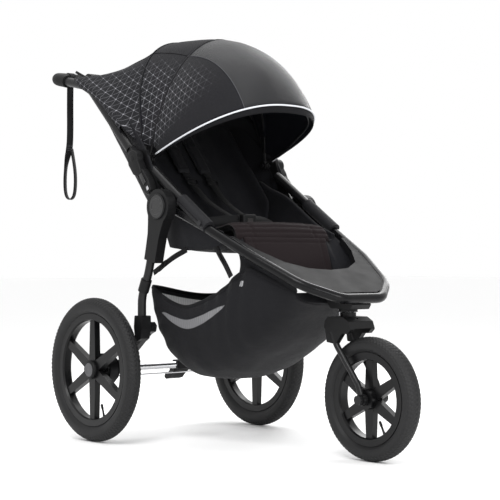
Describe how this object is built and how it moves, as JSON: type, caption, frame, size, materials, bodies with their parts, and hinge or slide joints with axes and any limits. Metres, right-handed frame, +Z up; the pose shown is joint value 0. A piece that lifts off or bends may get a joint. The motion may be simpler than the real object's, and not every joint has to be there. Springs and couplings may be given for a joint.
{
  "type": "jogging stroller",
  "caption": "Three-wheeled jogging stroller with a folding tube frame, sprung rear axle, swivelling fork, hooded seat and basket.",
  "frame": {"origin": "on the floor, at the middle of the overall box without the wrist strap", "axes": "+Z up, the front of the stroller faces -Y, X across the stroller"},
  "size_m": [0.645, 1.2555, 1.1448],
  "materials": {
    "frame_black": "satin black",
    "gloss_black": "gloss black",
    "steel": "brushed",
    "plastic_black": "fine texture",
    "tray_plastic": "satin",
    "tyre": "matt rubber",
    "wheel_plastic": "gloss moulding",
    "foam": "soft foam",
    "canopy_fabric": "woven",
    "seat_fabric": "woven",
    "basket_fabric": "woven",
    "webbing": "webbing",
    "cable_black": "smooth",
    "red_plastic": "smooth"
  },
  "bodies": {
    "front_frame": {"front_loop_tube": "gloss_black", "tray_panel": "tray_plastic", "head_bracket": "plastic_black", "armrest_tubes": "frame_black", "armrest_sleeves": "plastic_black", "frame_bolts": "steel", "lower_struts": "frame_black", "fold_brackets": "plastic_black", "fold_pivot_pins": "steel", "hub_bosses": "plastic_black", "seat_base": "seat_fabric", "calf_panel": "seat_fabric", "seat_sides": "seat_fabric", "crotch_strap": "webbing", "harness_buckle": "plastic_black", "basket_sides": "basket_fabric", "basket_floor": "basket_fabric", "basket_ends": "basket_fabric"},
    "buckle_button": {"buckle_button": "red_plastic"},
    "handle_frame": {"handle_tube": "frame_black", "handle_ears": "frame_black", "handle_grip": "foam", "brake_perch": "plastic_black", "brake_cable_upper": "cable_black", "wrist_strap_cuff": "webbing", "wrist_strap": "webbing", "canopy_rear_panel": "canopy_fabric"},
    "brake_lever": {"brake_lever": "frame_black"},
    "wheel_lock_lever": {"wheel_lock_lever": "plastic_black"},
    "canopy_rear": {"canopy_rear_bow": "plastic_black"},
    "canopy_mid": {"canopy_mid_bow": "plastic_black", "canopy_mid_panel": "canopy_fabric"},
    "canopy_front": {"canopy_front_bow": "plastic_black", "canopy_front_panel": "canopy_fabric"},
    "seat_back": {"seat_back": "seat_fabric", "seat_back_wings": "seat_fabric", "shoulder_pads": "seat_fabric"},
    "rear_frame": {"rear_legs": "frame_black", "hub_covers": "plastic_black", "hub_badges": "plastic_black", "leg_brackets": "plastic_black"},
    "rear_axle": {"rear_axle_tube": "steel", "suspension_arms": "frame_black", "drum_brakes": "plastic_black", "brake_link_rod": "steel", "brake_pedal_bracket": "plastic_black", "hub_caps": "steel"},
    "brake_pedal": {"parking_brake_pedal": "plastic_black"},
    "rear_wheel_left": {"rear_wheel_left_tyre": "tyre", "rear_wheel_left_rim": "wheel_plastic"},
    "rear_wheel_right": {"rear_wheel_right_tyre": "tyre", "rear_wheel_right_rim": "wheel_plastic"},
    "fork": {"fork_crown": "plastic_black", "swivel_pin": "steel", "fork_legs": "frame_black", "front_axle": "steel"},
    "axle_release_lever": {"axle_release_lever": "frame_black"},
    "front_wheel": {"front_wheel_tyre": "tyre", "front_wheel_rim": "wheel_plastic"},
    "swivel_lock_pin": {"swivel_lock_pin": "steel"}
  },
  "joints": [
    {"name": "frame_fold", "type": "hinge", "parent": "front_frame", "child": "handle_frame", "pos_m": [0, 0.17675, 0.783], "axis": [-1, 0, 0], "range_deg": [-165, 0], "deforming": ["canopy_rear_panel"]},
    {"name": "rear_leg_fold", "type": "hinge", "parent": "front_frame", "child": "rear_frame", "pos_m": [0, 0.06175, 0.648], "axis": [1, 0, 0], "range_deg": [-64, 0]},
    {"name": "canopy_follow", "type": "hinge", "parent": "handle_frame", "child": "canopy_rear", "pos_m": [0, 0.17675, 0.783], "axis": [-1, 0, 0], "range_deg": [0, 135]},
    {"name": "canopy_mid_hinge", "type": "hinge", "parent": "canopy_rear", "child": "canopy_mid", "pos_m": [0, 0.17675, 0.783], "axis": [-1, 0, 0], "range_deg": [0, 19.2], "deforming": ["canopy_mid_panel"]},
    {"name": "canopy_close", "type": "hinge", "parent": "canopy_mid", "child": "canopy_front", "pos_m": [0, 0.17675, 0.783], "axis": [-1, 0, 0], "range_deg": [0, 48], "deforming": ["canopy_front_panel"]},
    {"name": "seat_recline", "type": "hinge", "parent": "front_frame", "child": "seat_back", "pos_m": [0, 0.08575, 0.552], "axis": [1, 0, 0], "range_deg": [-12, 10]},
    {"name": "brake_lever", "type": "hinge", "parent": "handle_frame", "child": "brake_lever", "pos_m": [-0.103, 0.55675, 1.047], "axis": [0, 0, 1], "range_deg": [-13, 0], "stiffness_Nm_per_rad": 0.6, "springref_deg": 5.73},
    {"name": "wheel_lock_lever", "type": "hinge", "parent": "handle_frame", "child": "wheel_lock_lever", "pos_m": [-0.043, 0.57075, 1.059], "axis": [-1, 0, 0], "range_deg": [0, 28]},
    {"name": "swivel_lock_pin", "type": "slide", "parent": "front_frame", "child": "swivel_lock_pin", "axis": [0, 0, -1], "range_m": [0, 0.01]},
    {"name": "rear_suspension", "type": "hinge", "parent": "rear_frame", "child": "rear_axle", "pos_m": [0, 0.15175, 0.322], "axis": [1, 0, 0], "range_deg": [0, 7], "stiffness_Nm_per_rad": 900, "springref_deg": -1.72},
    {"name": "parking_brake", "type": "hinge", "parent": "rear_axle", "child": "brake_pedal", "pos_m": [0.025, 0.33775, 0.19], "axis": [-1, 0, 0], "range_deg": [0, 18]},
    {"name": "rear_wheel_left_spin", "type": "hinge", "parent": "rear_axle", "child": "rear_wheel_left", "pos_m": [-0.3, 0.31175, 0.2], "axis": [1, 0, 0], "continuous": true},
    {"name": "rear_wheel_right_spin", "type": "hinge", "parent": "rear_axle", "child": "rear_wheel_right", "pos_m": [0.3, 0.31175, 0.2], "axis": [1, 0, 0], "continuous": true},
    {"name": "fork_swivel", "type": "hinge", "parent": "front_frame", "child": "fork", "pos_m": [0, -0.38625, 0.35], "axis": [0, 0, 1], "continuous": true},
    {"name": "front_wheel_spin", "type": "hinge", "parent": "fork", "child": "front_wheel", "pos_m": [0, -0.46825, 0.1565], "axis": [1, 0, 0], "continuous": true},
    {"name": "axle_release", "type": "hinge", "parent": "fork", "child": "axle_release_lever", "pos_m": [0.046, -0.46825, 0.1565], "axis": [1, 0, 0], "range_deg": [0, 120]},
    {"name": "buckle_button", "type": "slide", "parent": "front_frame", "child": "buckle_button", "axis": [0, 1, 0], "range_m": [0, 0.0025], "stiffness_N_per_m": 600, "springref_m": -0.0005}
  ],
  "couplings": [
    {"joint": "rear_leg_fold", "follows": "frame_fold", "ratio": 0.38788},
    {"joint": "canopy_follow", "follows": "frame_fold", "ratio": -0.81818},
    {"joint": "canopy_mid_hinge", "follows": "canopy_close", "ratio": 0.4},
    {"joint": "wheel_lock_lever", "follows": "swivel_lock_pin", "rad_per_m": 48.845}
  ]
}
